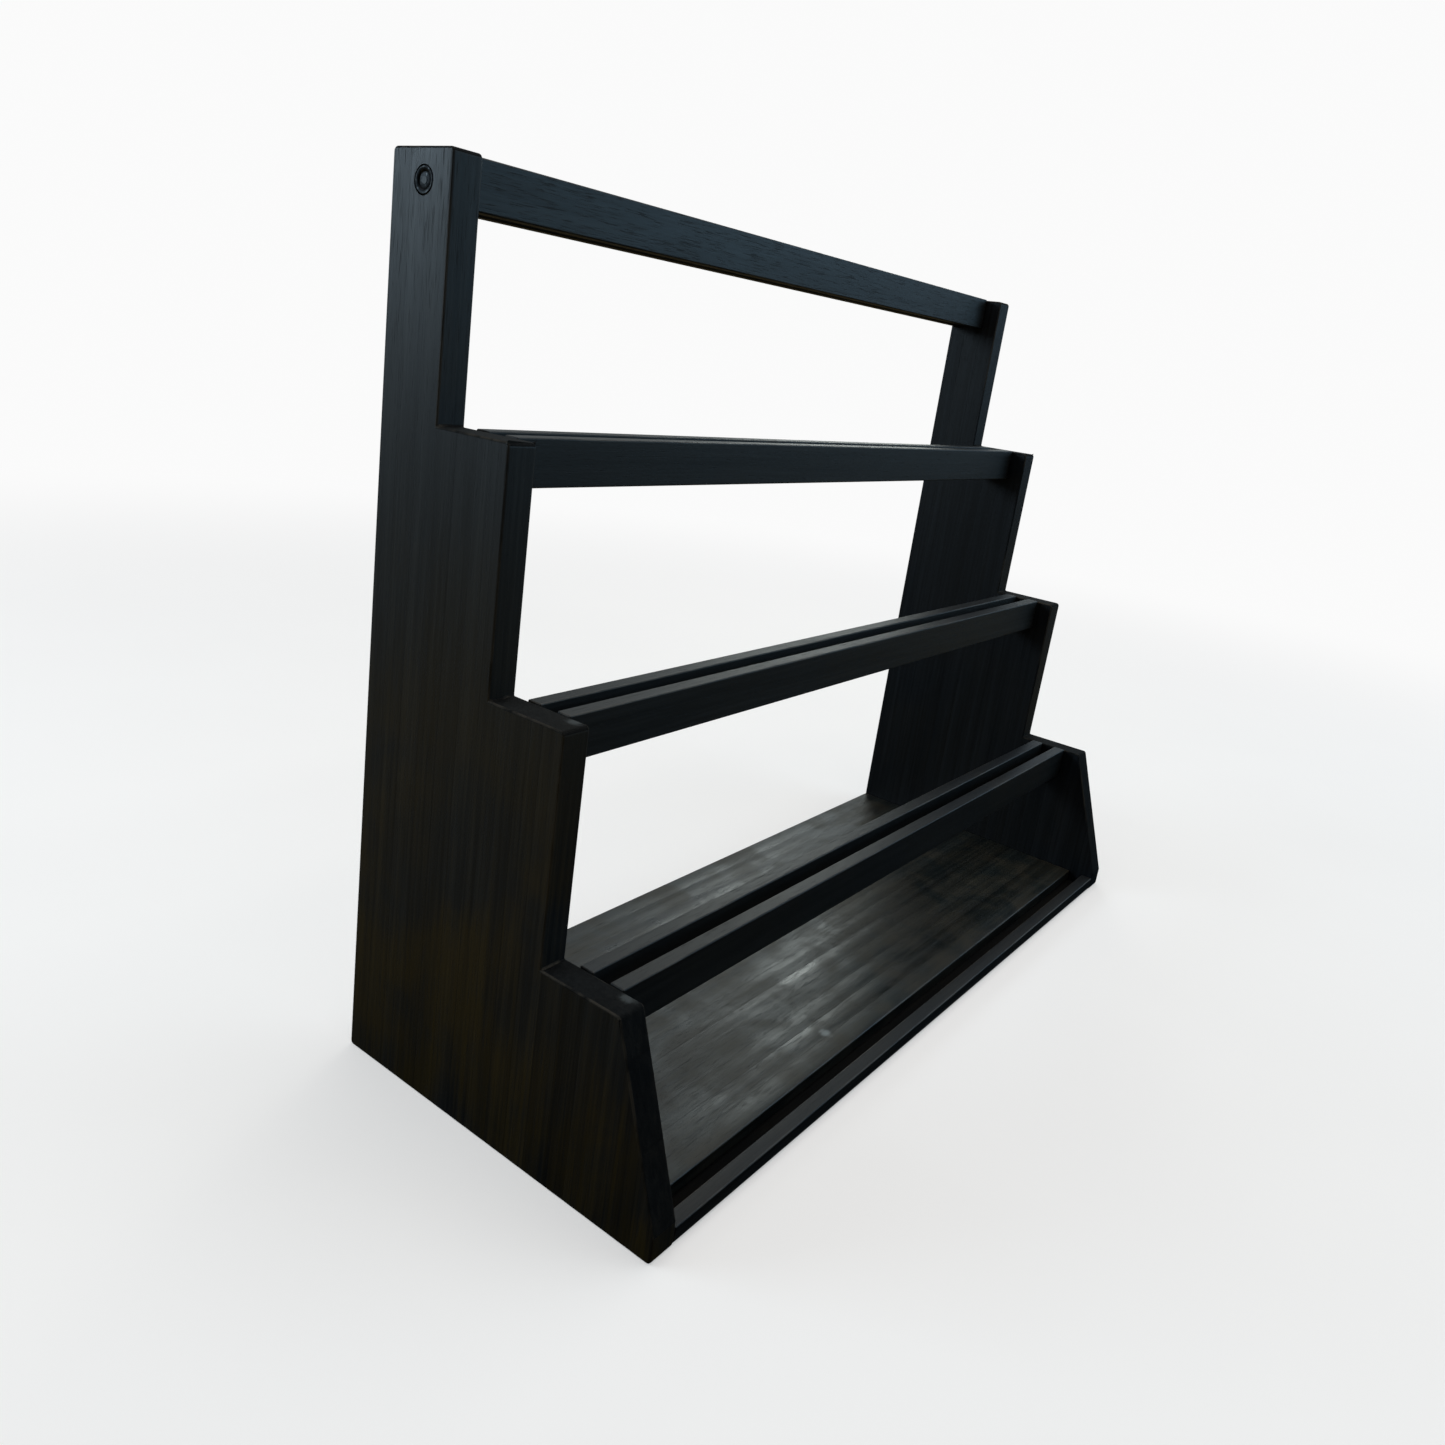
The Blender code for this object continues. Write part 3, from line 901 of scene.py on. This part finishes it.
def painted_corner_highlights():
    """Painted highlights, as lighter spots, on the inner front corners of the left panel's two lowest
    treads.
    """
    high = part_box("side_panel_left")[1]
    places = []
    for tier in HIGHLIGHTED_TIERS:
        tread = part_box(f"tier{tier}_front_rail")[1].z - RAIL_PROUD
        front = high.y - TREAD_DEPTHS[tier - 1]
        places.append((high.x - CORNER_HIGHLIGHT_SETBACK[0], front + CORNER_HIGHLIGHT_SETBACK[1], tread))
    return [(place, CORNER_HIGHLIGHT_SIZE, CORNER_HIGHLIGHT_COLOR) for place in places]


def build_rack():
    """Every visible piece of the rack."""
    board_low, board_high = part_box("base_board")
    board_size = board_high - board_low
    chip = (
        board_low.x + CHIP_SHARES[0] * board_size.x,
        board_low.y + CHIP_SHARES[1] * board_size.y,
        board_high.z,
    )
    left_stain = stained("ebony_left_panel", axes="ZYX")
    # The right panel gets a darker, cooler copy of the panel stain: painted shade for its inner face,
    # which lies in shade
    right_shaded_stain = stained(
        "ebony_right_panel_shaded",
        axes="ZYX",
        warm=0.10,
        dark=(0.0015, 0.0020, 0.0028),
        light=(0.0048, 0.0068, 0.0092),
        specular=0.2,
    )
    end_stain = stained(
        "ebony_end_grain",
        axes="ZYX",
        warm=0.15,
        dark=(0.0026, 0.0029, 0.0030),
        light=(0.0066, 0.0071, 0.0073),
        roughness=0.60,
        specular=0.10,
        # Painted highlights on the inner front corners of the two lowest treads
        marks=painted_corner_highlights(),
    )
    build_panels({"left": left_stain, "right": right_shaded_stain}, end_stain)
    build_rails(
        stained(
            "ebony_rail",
            axes="XZY",
            stave=0.2,
            joint_depth=0.0,
            roughness=0.40,
            specular=0.35,
            stave_tone=0.2,
            warm=0.12,
            dark=(0.0026, 0.0030, 0.0032),
            light=(0.0085, 0.0094, 0.0098),
        )
    )
    build_board(
        stained(
            "ebony_board",
            axes="XYZ",
            stave=board_size.y / BOARD_STAVES,
            origin=board_low.y,
            dark=(0.0036, 0.0050, 0.0043),
            light=(0.0090, 0.0120, 0.0104),
            warm=0.45,
            roughness=0.19,
            specular=0.38,
            coat=0.08,
            stave_gloss=0.10,
            patchy=0.10,
            patch_scale=16.0,
            cloudy=0.16,
            streaky=0.17,
            bump=0.36,
            marks=[(chip, CHIP_SIZE, CHIP_COLOR)],
        )
    )
    # Near-black strip at the foot of the base groove: painted shade
    build_strip(
        stained(
            "groove_shade_strip",
            axes="XYZ",
            stave=0.2,
            joint_depth=0.0,
            dark=(0.0012, 0.0012, 0.0012),
            light=(0.0026, 0.0026, 0.0025),
            warm=0.0,
            roughness=0.80,
            specular=0.08,
        )
    )
    build_screws(steel_material())
    paint_dowels()


build_camera()
build_world()
build_lights()
build_floor()
build_rack()
